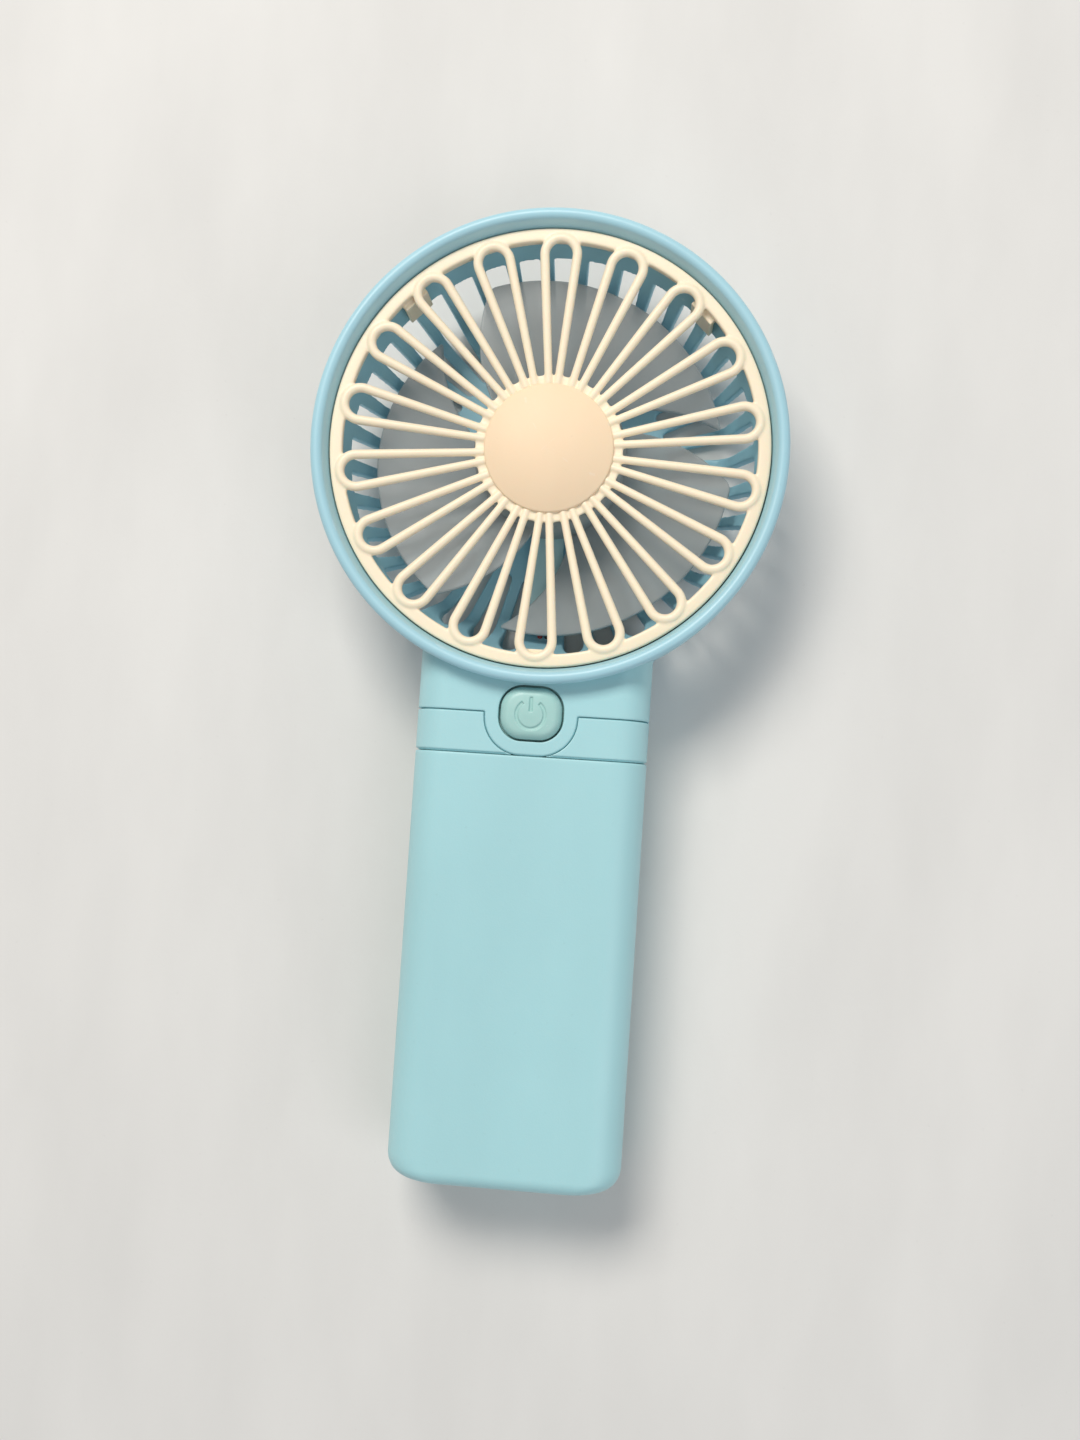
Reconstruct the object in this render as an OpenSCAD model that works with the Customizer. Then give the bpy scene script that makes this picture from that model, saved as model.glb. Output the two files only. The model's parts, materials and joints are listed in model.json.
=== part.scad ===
// Handheld battery fan, lying on its back.
// +Z points out of the front grille, +Y up to the head and -Y down the handle.
// The origin is on the plane that the fan lies on, halfway along its length.

/* [Body] */
// Length from the top of the head to the end of the handle
body_l = 200.6; // [199:0.2:203]
// Width of the handle
body_w = 48.3; // [48:0.1:49]
// Thickness of the handle
body_t = 24; // [23.8:0.1:24.4]
// Radius of the handle's long edges
edge_r = 7; // [6:0.5:8]
// Wall thickness of the moulded shells
wall = 1.8; // [1.6:0.1:1.9]
// Distance from the rotor axis down to the seam under the neck
neck_drop = 54.8; // [54.6:0.1:55.2]
// Height of the collar between the neck and the battery sleeve
collar_h = 8.45; // [8:0.05:8.8]
// Width of the shadow gap at each seam
seam_gap = 0.3; // [0.2:0.05:0.4]
// Wall thickness of the battery sleeve
sleeve_wall = 1.7; // [1.5:0.1:1.8]

/* [Head] */
// Radius of the head over its front lip
head_r = 48.9; // [48.7:0.1:49.3]
// Height of the front grille's face over the back
grille_z = 25; // [24.8:0.1:25.4]
// Height of the lip over the grille's face
lip_h = 3.4; // [3:0.1:3.8]
// Height of the parting plane between the front and rear shells
part_z = 17; // [16.8:0.1:17.2]

/* [Front grille] */
// Number of wire loops
loop_count = 18; // [12:1:18]
// Outer radius of the grille's ring
ring_r = 45.2; // [45:0.1:45.3]
// Width of the grille's ring
ring_w = 2.6; // [2.4:0.1:3]
// Radius of a loop's round outer end, to the middle of the rod
loop_r = 3.36; // [3.1:0.02:3.5]
// Rod radius at the outer end of a loop
rod_tip_r = 1; // [0.9:0.01:1.1]
// Rod radius at the hub
rod_hub_r = 0.82; // [0.75:0.01:0.9]
// Radius of the grille's hub
hub_r = 15.4; // [15:0.1:15.8]
// Radius of the domed hub cap
cap_r = 13.35; // [13:0.05:13.6]

/* [Rear grille] */
// Angle between neighbouring slots
slot_pitch = 10; // [10, 12]
// Width of the ribs between the slots
rib_w = 2.45; // [2:0.05:2.8]
// Distance from the rotor axis to the outer end of a slot
slot_far = 41.7; // [41:0.1:42]
// Distance from the rotor axis to the inner end of a slot
slot_near = 25; // [24:0.5:27]

/* [Rotor] */
// Number of blades
blade_count = 3; // [3:1:3]
// Radius over the blade tips
blade_r = 38.3; // [37:0.1:38.5]
// Thickness of a blade
blade_t = 1.2; // [1:0.1:1.4]
// Outer radius of the rotor's hub
rotor_hub_r = 15.9; // [15.7:0.1:16.2]

/* [Drive and power] */
// Radius of the motor can
motor_r = 12.2; // [12:0.1:12.3]
// Radius of the motor shaft
shaft_r = 1; // [1:0.05:1.1]
// Radius of an AA cell
cell_r = 7.1; // [6.9:0.05:7.2]
// Length of an AA cell over its positive nub
cell_l = 50.5; // [49.8:0.1:50.5]
// How far the button travels
button_travel = 0.5; // [0.3:0.1:0.6]

/* [Hidden] */
$fn = 72;

// stations along the body
head_y = body_l / 2 - head_r;
top_seam_y = head_y - neck_drop;
low_seam_y = top_seam_y - collar_h;
end_y = -body_l / 2;
button_y = top_seam_y;

// head rim
lip_z = grille_z + lip_h;
bead_r = 1.3;
bead_c = head_r - bead_r;
rim_r = head_r - 0.4;
rim_in_r = ring_r + 0.4;
seat_z = grille_z - 3.5;
seat_h = 1.5;
seat_r = ring_r - 1;

// rear bowl: flat back, round shoulder, steep side
bowl_wall = 2.1;
shoulder_r = 6;
shoulder_c = 34.56;
side_a = 67.7;
flange_low = part_z - 1.6;
flange_top = part_z + 2.6;
slot_top = flange_low - 0.3;
slot_far_c = slot_far - 2.2;
slot_far_half = slot_far_c * tan(slot_pitch / 2) - rib_w / 2;
spigot_r = rim_in_r - 0.2;
cup_in_r = motor_r + 0.05;
cup_out_r = motor_r + 1.8;
cup_top = 9;
channel_x = 2.7;
channel_far = 36;
channel_rib_t = 1;
channel_top = bowl_wall + 1.8;

// grille rods: every loop lies in one plane, tilted down towards the hub
loop_c = 40.05;
loop_splay = 5.25;
loop_tilt = 3.5;
loop_z = grille_z - 0.6;
rod_l = 25.8;
hub_low = grille_z - 2.9;
hub_top = grille_z - 1.1;
clip_w = 6;
clip_r = 41.5;

// motor, measured up from the back wall of the bowl
motor_low = bowl_wall + 1.4;
can_low = motor_low + 0.9;
motor_top = motor_low + 12.3;
shaft_top = grille_z - 4.2;
run_gap = 0.03;
press = 0.01;
rotor_top = grille_z - 3.4;
blade_low = 6;
blade_rise = 10.4;
blade_bow = 0.8;
blade_corner = 1.5;
blade_taper = 1.3;
blade_tip_l = 66;

// neck electronics
shell_in_z = body_t - wall;
board_low = 16.3;
board_t = 1.2;
board_top = board_low + board_t;
switch_h = 3.5;
switch_top = board_top + switch_h;
plunger_top = switch_top + 1.2;
plunger_r = 1.7;
screw_x = 17;
screw_y = head_y - 49.5;
screw_hole_r = 1.25;
screw_seat_r = 2.3;
screw_seat_z = 3.2;
screw_grip = 6;
board_post_x = 7;
board_post_y = top_seam_y + 3.5;

// button outline: the tongue around it is the same outline, grown
button_w = 12.8;
button_h = 10.9;
button_corner = 4.6;
button_gap = 0.25;
tongue_grow = 3;

// battery bay
core_inset = 2.2;
core_wall = 1.5;
core_top = top_seam_y + 1.8;
core_end = end_y + 2.4;
end_wall = 1.6;
plate_t = 0.4;
spring_room = 3.8;
contact_side = 5;
ridge_z = 6.8;
bay_low = core_end + end_wall;
bay_top = bay_low + cell_l + 2 * plate_t + spring_room;
cell_pitch = 2 * cell_r + 0.6;
cell_z = body_t / 2;

// wiring
lead_r = 0.6;
lead_z = cell_z + 6;
lead_tab_x = cell_pitch / 2 + 2;
terminal_x = 3.4;
terminal_y = -9.6;
terminal_w = 1.2;
terminal_t = 0.5;
spring_wire = 0.35;
board_y = core_top - 20;
bridge_l = 6;
cup_notch_h = 2.6;
bush_r = 2.2;
rear_bush_r = 2;
rear_bush_low = motor_low + 0.3;
commutator_r = 2.3;
commutator_low = can_low + 1.75;
core_low = can_low + 4.4;
core_top_z = can_low + 9;
pole_root_w = 2.4;

// colours
shell_blue = [0.66, 0.84, 0.86];
cream = [1, 0.94, 0.83];
steel = [0.72, 0.73, 0.75];
copper = [0.78, 0.45, 0.22];

// ---------- shared shapes ----------

module round_rect(w, h, r) {
    square([w - 2 * r, h], center = true);
    square([w, h - 2 * r], center = true);
    for (sx = [-1, 1], sz = [-1, 1])
        translate([sx * (w / 2 - r), sz * (h / 2 - r)])
            circle(r);
}

module at_rotor(z = 0) {
    translate([0, head_y, z])
        children();
}

// extrudes a section drawn in X and Z between two stations along Y
module along_y(y_low, y_high) {
    translate([0, y_high, 0])
        rotate([90, 0, 0])
            linear_extrude(y_high - y_low)
                children();
}

module plate(z_low, z_high) {
    translate([0, 0, z_low])
        linear_extrude(z_high - z_low)
            children();
}

module tube(r_out, r_in, z_low, z_high) {
    translate([0, 0, z_low])
        difference() {
            cylinder(r = r_out, h = z_high - z_low);
            translate([0, 0, -1])
                cylinder(r = r_in, h = z_high - z_low + 2);
        }
}

// the handle's cross-section, shrunk by inset all round
module handle_section(inset = 0) {
    translate([0, body_t / 2])
        round_rect(body_w - 2 * inset, body_t - 2 * inset, edge_r - inset);
}

module front_half() {
    intersection() {
        handle_section();
        translate([-body_w, part_z])
            square([2 * body_w, body_t]);
    }
}

module rear_half() {
    intersection() {
        handle_section();
        translate([-body_w, 0])
            square([2 * body_w, part_z]);
    }
}

module button_outline(grow = 0) {
    translate([0, button_y])
        round_rect(button_w + 2 * grow, button_h + 2 * grow, button_corner + grow);
}

function unit(v) = v / norm(v);

// a smooth path through every point, with n steps in each span
function spline(p, n) = [
    for (i = [0:len(p) - 2], k = [0:n - 1])
        let (
            t = k / n,
            a = p[max(i - 1, 0)],
            b = p[i],
            c = p[i + 1],
            d = p[min(i + 2, len(p) - 1)]
        )
        b + t * (c - a) / 2
            + t * t * (a - 2.5 * b + 2 * c - d / 2)
            + t * t * t * (3 * (b - c) + d - a) / 2,
    p[len(p) - 1]
];

// closes rows of points, side_n to a row, into a capped tube
module skin(points, side_n) {
    last = len(points) / side_n - 1;
    sides = [
        for (i = [0:last - 1], j = [0:side_n - 1])
            let (k = (j + 1) % side_n)
            [i * side_n + j, i * side_n + k, (i + 1) * side_n + k, (i + 1) * side_n + j]
    ];
    foot = [for (j = [side_n - 1:-1:0]) j];
    tip = [for (j = [0:side_n - 1]) last * side_n + j];
    polyhedron(points, concat(sides, [foot], [tip]));
}

// a wire along a smooth path; no stretch of it may run along X
module wire(points) {
    path = spline(points, 4);
    last = len(path) - 1;
    side_n = 8;
    skin([
        for (i = [0:last])
            let (
                run = path[min(i + 1, last)] - path[max(i - 1, 0)],
                side = unit(cross([1, 0, 0], run)),
                up = unit(cross(run, side))
            )
            for (j = [0:side_n - 1])
                path[i] + lead_r * (cos(360 * j / side_n) * side + sin(360 * j / side_n) * up)
    ], side_n);
}

// ---------- casing ----------

module rim_profile() {
    slope_in = 1.22;
    slope_up = 0.44;
    translate([rim_in_r, part_z])
        square([rim_r - rim_in_r, lip_z - bead_r - part_z]);
    translate([seat_r, seat_z - seat_h])
        square([rim_in_r - seat_r + 0.1, seat_h]);
    translate([bead_c, lip_z - bead_r])
        circle(bead_r);
    polygon([
        [rim_in_r, grille_z - 1],
        [rim_in_r, grille_z + 0.1],
        [bead_c - slope_in, lip_z - bead_r + slope_up],
        [bead_c, lip_z - bead_r],
        [bead_c, grille_z - 1]
    ]);
}

// one half of the neck's shell, open at both ends
module neck_half() {
    difference() {
        along_y(top_seam_y, head_y - 36)
            children();
        along_y(top_seam_y - 1, head_y - 35)
            handle_section(wall);
    }
}

module tongue() {
    intersection() {
        plate(shell_in_z, body_t)
            button_outline(tongue_grow);
        translate([-body_w / 2, low_seam_y, 0])
            cube([body_w, collar_h + 1, body_t]);
    }
}

module front_shell() {
    post_r = 2.6;
    color(shell_blue)
        difference() {
            union() {
                at_rotor()
                    rotate_extrude($fn = 180)
                        rim_profile();
                difference() {
                    neck_half()
                        front_half();
                    at_rotor(part_z - 1)
                        cylinder(r = rim_in_r + 0.5, h = lip_z);
                }
                tongue();
                for (s = [-1, 1])
                    translate([s * screw_x, screw_y, part_z])
                        cylinder(r = post_r, h = shell_in_z - part_z + 0.5);
            }
            plate(shell_in_z - 1, body_t + 1)
                button_outline(button_gap);
            for (s = [-1, 1])
                translate([s * screw_x, screw_y, part_z - 1])
                    cylinder(r = shaft_r - 2 * press, h = screw_grip);
        }
}

// where the bowl's round shoulder meets its steep side
function shoulder_touch(inset) =
    [
        shoulder_c + (shoulder_r - inset) * sin(side_a),
        shoulder_r - (shoulder_r - inset) * cos(side_a)
    ];
function side_radius(inset, z) =
    shoulder_touch(inset).x + (z - shoulder_touch(inset).y) / tan(side_a);

// the outline of the bowl from its axis out to the foot of the given side points
module bowl_outline(inset, side_points) {
    touch = shoulder_touch(inset);
    polygon(concat(
        [[0, inset], [shoulder_c, inset], [shoulder_c, shoulder_r], touch],
        side_points
    ));
    intersection() {
        translate([shoulder_c, shoulder_r])
            circle(shoulder_r - inset);
        square(touch);
    }
}

// the bowl as a solid, with the flange that the front shell sits on
module bowl_solid() {
    flange_round = 1.6;
    rotate_extrude($fn = 180) {
        bowl_outline(0, [
            [side_radius(0, flange_low), flange_low],
            [rim_r - flange_round, flange_low],
            [rim_r - flange_round, part_z],
            [spigot_r, part_z],
            [spigot_r, flange_top],
            [0, flange_top]
        ]);
        translate([rim_r - flange_round, part_z])
            intersection() {
                circle(flange_round);
                translate([0, -flange_round])
                    square(flange_round);
            }
    }
}

module bowl_hollow() {
    top_z = flange_top + 1;
    rotate_extrude($fn = 180)
        bowl_outline(bowl_wall, [
            [side_radius(bowl_wall, top_z), top_z],
            [0, top_z]
        ]);
}

// a slot between two ribs; it either has a round outer end or runs out through the bowl's side
module slot_outline(through_side) {
    near_inset = 1;
    near_c = slot_near + near_inset;
    near_half = near_c * tan(slot_pitch / 2) - rib_w / 2;
    polygon(concat(
        [[near_c, near_half], [near_c, -near_half], [slot_far_c, -slot_far_half]],
        through_side ? [[rim_r, -slot_far_half], [rim_r, slot_far_half]] : [],
        [[slot_far_c, slot_far_half]]
    ));
    translate([near_c, 0])
        circle(near_half);
    if (!through_side)
        translate([slot_far_c, 0])
            circle(slot_far_half);
}

// slots all round, but for the one over the neck, where the wires run
module slots() {
    neck_a = 30;
    for (a = [slot_pitch - 90:slot_pitch:270 - slot_pitch])
        rotate(a)
            plate(-1, slot_top)
                slot_outline(a > neck_a - 90 && a < 270 - neck_a);
}

module rear_posts() {
    screw_post_r = 2.9;
    board_post_r = 1.5;
    foot = wall / 2;
    post_gap = 0.05;
    for (s = [-1, 1]) {
        translate([s * screw_x, screw_y, foot])
            cylinder(r = screw_post_r, h = part_z - post_gap - foot);
        translate([s * board_post_x, board_post_y, foot])
            cylinder(r = board_post_r, h = board_low - foot);
    }
}

module screw_holes() {
    for (s = [-1, 1])
        translate([s * screw_x, screw_y, -1]) {
            cylinder(r = screw_hole_r, h = part_z + 2);
            cylinder(r = screw_seat_r, h = screw_seat_z);
        }
}

// the motor's cup and ledge, and the two ribs of the wire channel
module motor_cup() {
    foot = bowl_wall - 0.5;
    ledge_w = 1.4;
    lead_notch = 9.6;
    notch_l = 6;
    difference() {
        union() {
            tube(cup_out_r, cup_in_r, foot, cup_top);
            tube(cup_in_r + 0.1, cup_in_r - ledge_w, foot, motor_low);
            for (s = [-1, 1])
                translate([s * channel_x - channel_rib_t / 2, -channel_far, foot])
                    cube([channel_rib_t, channel_far - cup_in_r, channel_top - foot]);
        }
        translate([-channel_x - channel_rib_t / 2, -cup_out_r - 1, bowl_wall])
            cube([2 * channel_x + channel_rib_t, notch_l, cup_notch_h]);
        translate([-lead_notch / 2, -cup_in_r, bowl_wall])
            cube([lead_notch, notch_l - 1, cup_notch_h]);
    }
}

module rear_shell() {
    duct_w = 2 * channel_x - 1;
    duct_l = 11.6;
    duct_h = 2.4;
    color(shell_blue)
        union() {
            difference() {
                union() {
                    at_rotor()
                        bowl_solid();
                    neck_half()
                        rear_half();
                    rear_posts();
                }
                at_rotor()
                    bowl_hollow();
                at_rotor()
                    slots();
                screw_holes();
                translate([-duct_w / 2, head_y - 46.5, bowl_wall])
                    cube([duct_w, duct_l, duct_h]);
            }
            at_rotor()
                motor_cup();
        }
}

module collar() {
    color(shell_blue)
        difference() {
            along_y(low_seam_y + seam_gap / 2, top_seam_y - seam_gap)
                handle_section();
            along_y(low_seam_y - 1, top_seam_y + 1)
                handle_section(wall);
            plate(shell_in_z - 1, body_t + 1)
                button_outline(tongue_grow + seam_gap);
        }
}

module sleeve_body() {
    plan_r = 5.5;
    bottom_r = 3;
    top_y = low_seam_y - seam_gap;
    intersection() {
        along_y(end_y, top_y)
            handle_section();
        translate([0, (end_y + top_y) / 2 + plan_r])
            plate(-1, body_t + 1)
                round_rect(body_w, top_y - end_y + 2 * plan_r, plan_r);
        rotate([90, 0, 90])
            plate(-body_w, body_w)
                translate([(end_y + top_y) / 2 + bottom_r, body_t / 2])
                    round_rect(top_y - end_y + 2 * bottom_r, body_t, bottom_r);
    }
}

module battery_sleeve() {
    color(shell_blue)
        difference() {
            sleeve_body();
            along_y(end_y + wall, low_seam_y + 1)
                handle_section(sleeve_wall);
        }
}

// ---------- battery bay ----------

module core_section(z_low, z_high) {
    intersection() {
        handle_section(core_inset);
        translate([-body_w, z_low])
            square([2 * body_w, z_high - z_low]);
    }
}

module battery_core() {
    room = 0.2;
    opening_w = 26;
    lead_hole_r = 0.9;
    shelf_t = 1.5;
    color([0.93, 0.94, 0.94])
        difference() {
            union() {
                difference() {
                    along_y(bay_top, core_top)
                        core_section(0, body_t);
                    along_y(bay_top + end_wall, core_top + 1)
                        handle_section(core_inset + core_wall);
                    translate([-opening_w / 2, board_y, board_low])
                        cube([opening_w, core_top - board_y + 1, body_t]);
                }
                along_y(board_y, board_y + bridge_l)
                    core_section(board_low - shelf_t, board_low);
                along_y(core_end, bay_top + 0.1)
                    core_section(0, ridge_z);
                along_y(core_end, bay_low)
                    core_section(0, body_t);
            }
            for (i = [-1, 0, 1])
                translate([i * cell_pitch, bay_low, cell_z])
                    rotate([-90, 0, 0])
                        cylinder(r = cell_r + room, h = bay_top - bay_low);
            for (s = [-1, 1])
                translate([s * cell_pitch / 2, bay_top - 1, lead_z])
                    rotate([-90, 0, 0])
                        cylinder(r = lead_hole_r, h = end_wall + 2, $fn = 24);
        }
}

// a cell lying along Y; its nub points to +Y when up is 1 and to -Y when it is -1
module cell(column, up) {
    nub_y = up > 0 ? bay_top - plate_t : bay_low + plate_t;
    nub_r = 2.7;
    nub_h = 1.2;
    bevel = 0.5;
    color(up > 0 ? [0.2, 0.22, 0.25] : [0.24, 0.26, 0.3])
        translate([column * cell_pitch, nub_y, cell_z])
            rotate([up * 90, 0, 0])
                rotate_extrude()
                    polygon([
                        [0, 0],
                        [nub_r, 0],
                        [nub_r, nub_h],
                        [cell_r - bevel, nub_h],
                        [cell_r, nub_h + bevel],
                        [cell_r, cell_l - bevel],
                        [cell_r - bevel, cell_l],
                        [0, cell_l]
                    ]);
}

module contact_plate(column_low, column_high, y) {
    width = (column_high - column_low) * cell_pitch + 2 * contact_side;
    middle_x = (column_low + column_high) / 2 * cell_pitch;
    translate([middle_x - width / 2, y, cell_z - contact_side])
        cube([width, plate_t, 2 * contact_side]);
}

// the tab that a lead is soldered to
module solder_tab(side, y) {
    tab_w = 2.8;
    tab_h = 3.4;
    out = 0.6;
    translate([side * (lead_tab_x + out) - tab_w / 2, y, cell_z + contact_side - 1])
        cube([tab_w, plate_t, tab_h]);
}

module top_contact_plates() {
    y = bay_top - plate_t;
    color(steel) {
        contact_plate(0, 1, y);
        union() {
            contact_plate(-1, -1, y);
            solder_tab(-1, y);
        }
    }
}

module end_contact_plates() {
    color(steel) {
        contact_plate(-1, 0, bay_low);
        union() {
            contact_plate(1, 1, bay_low);
            solder_tab(1, bay_low);
        }
    }
}

// a conical coil of round wire along +Z, wide at its foot
module coil(height, r_foot, r_tip, turns, wire_r) {
    ring_n = 12;
    side_n = 5;
    steps = turns * ring_n;
    points = [
        for (i = [0:steps], j = [0:side_n - 1])
            let (
                a = 360 * i / ring_n,
                r = r_foot + (r_tip - r_foot) * i / steps,
                out = r + wire_r * cos(360 * j / side_n)
            )
            [out * cos(a), out * sin(a), height * i / steps + wire_r * sin(360 * j / side_n)]
    ];
    skin(points, side_n);
}

module contact_springs() {
    spare = 0.42;
    height = spring_room - 2 * spare;
    foot_r = 4;
    tip_r = 2.6;
    turns = 3;
    color(steel) {
        for (i = [-1, 1])
            translate([i * cell_pitch, bay_low + plate_t + spare, cell_z])
                rotate([-90, 0, 0])
                    coil(height, foot_r, tip_r, turns, spring_wire);
        translate([0, bay_top - plate_t - spare, cell_z])
            rotate([90, 0, 0])
                coil(height, foot_r, tip_r, turns, spring_wire);
    }
}

// ---------- front grille ----------

module loop() {
    translate([loop_c, 0, loop_z])
        rotate([0, -loop_tilt, 0]) {
            rotate(-90 - loop_splay)
                rotate_extrude(angle = 180 + 2 * loop_splay, $fn = 48)
                    translate([loop_r, 0])
                        circle(rod_tip_r, $fn = 32);
            for (s = [-1, 1])
                rotate(s * (90 + loop_splay))
                    translate([loop_r, 0, 0])
                        rotate([s * -90, 0, 0])
                            cylinder(r1 = rod_tip_r, r2 = rod_hub_r, h = rod_l, $fn = 32);
        }
}

module ring_profile() {
    round_e = 0.5;
    ring_t = 1.6;
    skirt_t = 1.5;
    in_r = ring_r - ring_w;
    low = grille_z - ring_t;
    translate([in_r, low])
        square([ring_w, ring_t - round_e]);
    translate([in_r + round_e, low])
        square([ring_w - 2 * round_e, ring_t]);
    for (r = [in_r + round_e, ring_r - round_e])
        translate([r, grille_z - round_e])
            circle(round_e);
    translate([in_r + 0.5, seat_z])
        square([skirt_t, low - seat_z + 0.5]);
}

// a clip that reaches down from the skirt to the rear shell's flange
module clip() {
    foot_z = part_z - 1.5;
    clip_t = 1.1;
    foot_w = 2;
    shelf_h = 1.5;
    translate([clip_r, -clip_w / 2, foot_z])
        cube([clip_t, clip_w, seat_z + shelf_h - foot_z]);
    translate([clip_r, -clip_w / 2, seat_z])
        cube([foot_w, clip_w, shelf_h]);
}

module front_grille() {
    color(cream)
        at_rotor()
            union() {
                rotate_extrude($fn = 180)
                    ring_profile();
                for (i = [0:loop_count - 1])
                    rotate(90 + i * 360 / loop_count)
                        loop();
                translate([0, 0, hub_low])
                    cylinder(r = hub_r, h = hub_top - hub_low);
                for (a = [45, 135, 270])
                    rotate(a)
                        clip();
            }
}

module hub_cap() {
    dome_h = 3.1;
    edge_h = 0.5;
    dome_r = (cap_r * cap_r + dome_h * dome_h) / (2 * dome_h);
    color([1, 0.9, 0.76])
        at_rotor(hub_top)
            union() {
                cylinder(r = cap_r, h = edge_h);
                intersection() {
                    translate([0, 0, edge_h])
                        cylinder(r = cap_r, h = dome_h + 1);
                    translate([0, 0, edge_h + dome_h - dome_r])
                        sphere(r = dome_r, $fn = 180);
                }
            }
}

// ---------- rotor ----------

// edge angles in degrees: both edges lean clockwise towards the tip
function lead_edge(r) = 12.5 + 1.5 * (blade_r - r);
function trail_edge(r) = 113.5 + 1.25 * (blade_r - r);

// height of the blade's middle, from its low leading edge (0) to its high trailing edge (1)
function blade_z(u) = blade_low + blade_rise * u + blade_bow * sin(180 * u);

// outline radius at u along the tip, with round corners
function tip_radius(u) =
    let (
        arc = min(u, 1 - u) * blade_tip_l,
        short = max(0, blade_corner - arc)
    )
    blade_r - blade_taper * (1 - u) - blade_corner + sqrt(blade_corner * blade_corner - short * short);

module blade() {
    root_r = rotor_hub_r - 0.7;
    across = 16;
    out = 6;
    row = out + 1;
    layer = (across + 1) * row;
    // stations crowd towards both edges so that the round corners stay round
    stations = [for (i = [0:across]) (1 - cos(180 * i / across)) / 2];
    points = [
        for (side = [-1, 1], u = stations, j = [0:out])
            let (
                r = root_r + (tip_radius(u) - root_r) * j / out,
                a = lead_edge(r) + (trail_edge(r) - lead_edge(r)) * u
            )
            [r * cos(a), r * sin(a), blade_z(u) + side * blade_t / 2]
    ];
    quads = [
        for (i = [0:across - 1], j = [0:out - 1])
            let (a = i * row + j, b = a + row)
            each [
                [a, a + 1, b + 1],
                [a, b + 1, b],
                [layer + a, layer + b + 1, layer + a + 1],
                [layer + a, layer + b, layer + b + 1]
            ]
    ];
    tip_and_root = [
        for (i = [0:across - 1], j = [0, out])
            let (a = i * row + j, b = a + row)
            j == 0 ? [a, b, layer + b, layer + a] : [a, layer + a, layer + b, b]
    ];
    edges = [
        for (i = [0, across], j = [0:out - 1])
            let (a = i * row + j)
            i == 0
                ? [a, layer + a, layer + a + 1, a + 1]
                : [a, a + 1, layer + a + 1, layer + a]
    ];
    polyhedron(points, concat(quads, tip_and_root, edges));
}

module fan_rotor() {
    skirt_low = 6;
    shell = 1.3;
    crown_r = 1.5;
    crown_t = 1.6;
    boss_r = 3;
    boss_low = motor_top + 1.6;
    color([0.8, 0.85, 0.85, 0.8])
        at_rotor()
            difference() {
                union() {
                    tube(rotor_hub_r, rotor_hub_r - shell, skirt_low, rotor_top - crown_r);
                    translate([0, 0, rotor_top - crown_t])
                        cylinder(r = rotor_hub_r - crown_r, h = crown_t);
                    rotate_extrude()
                        translate([rotor_hub_r - crown_r, rotor_top - crown_r])
                            intersection() {
                                circle(crown_r);
                                square(crown_r);
                            }
                    translate([0, 0, boss_low])
                        cylinder(r = boss_r, h = rotor_top - 0.4 - boss_low);
                    for (i = [0:blade_count - 1])
                        rotate(i * 360 / blade_count)
                            blade();
                }
                translate([0, 0, motor_top + 1])
                    cylinder(r = shaft_r - press, h = shaft_top - motor_top - 0.8);
            }
}

// ---------- motor ----------

module motor_can() {
    can_wall = 0.8;
    nose_r = 3.1;
    nose_h = 1;
    color(steel)
        at_rotor()
            difference() {
                union() {
                    translate([0, 0, can_low])
                        cylinder(r = motor_r, h = motor_top - can_low);
                    translate([0, 0, motor_top - 0.1])
                        cylinder(r = nose_r, h = nose_h + 0.1);
                }
                translate([0, 0, can_low - 1])
                    cylinder(r = motor_r - can_wall, h = motor_top - can_low + 0.1);
                translate([0, 0, motor_top - 3])
                    cylinder(r = bush_r, h = 6);
            }
}

module front_bush() {
    color([0.75, 0.62, 0.4])
        at_rotor()
            tube(bush_r, shaft_r + run_gap, motor_top - 1.8, motor_top + 1);
}

module rear_bush() {
    color([0.75, 0.62, 0.4])
        at_rotor()
            tube(rear_bush_r, shaft_r + run_gap, rear_bush_low, can_low + 1.6);
}

module motor_end_cap() {
    spigot_t = 1.2;
    slot_w = terminal_w + 0.3;
    slot_t = terminal_t + 0.5;
    color([0.92, 0.92, 0.88])
        at_rotor()
            difference() {
                union() {
                    translate([0, 0, motor_low])
                        cylinder(r = motor_r, h = can_low - motor_low);
                    translate([0, 0, can_low])
                        cylinder(r = motor_r - 0.85, h = spigot_t);
                }
                translate([0, 0, rear_bush_low])
                    cylinder(r = rear_bush_r, h = 4);
                for (s = [-1, 1])
                    translate([s * terminal_x - slot_w / 2, terminal_y - 0.25, motor_low - 1])
                        cube([slot_w, slot_t, 5]);
            }
}

// two curved magnets, one each side
module motor_magnets() {
    magnet_a = 130;
    magnet_t = 1.95;
    magnet_l = 8;
    color([0.2, 0.2, 0.21])
        at_rotor()
            for (s = [0, 180])
                rotate(s - magnet_a / 2)
                    rotate_extrude(angle = magnet_a)
                        translate([motor_r - 2.8, can_low + 1.6])
                            square([magnet_t, magnet_l]);
}

module motor_shaft() {
    shaft_low = motor_low + 0.5;
    color(steel)
        at_rotor(shaft_low)
            cylinder(r = shaft_r, h = shaft_top - shaft_low);
}

module pole() {
    shoe_out_r = 8.9;
    shoe_in_r = 7.4;
    shoe_half_a = 42.5;
    reach = 12;
    translate([0, -pole_root_w / 2])
        square([shoe_in_r + 0.2, pole_root_w]);
    intersection() {
        difference() {
            circle(shoe_out_r);
            circle(shoe_in_r);
        }
        polygon([
            [0, 0],
            [reach, -reach * tan(shoe_half_a)],
            [reach, reach * tan(shoe_half_a)]
        ]);
    }
}

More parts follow.
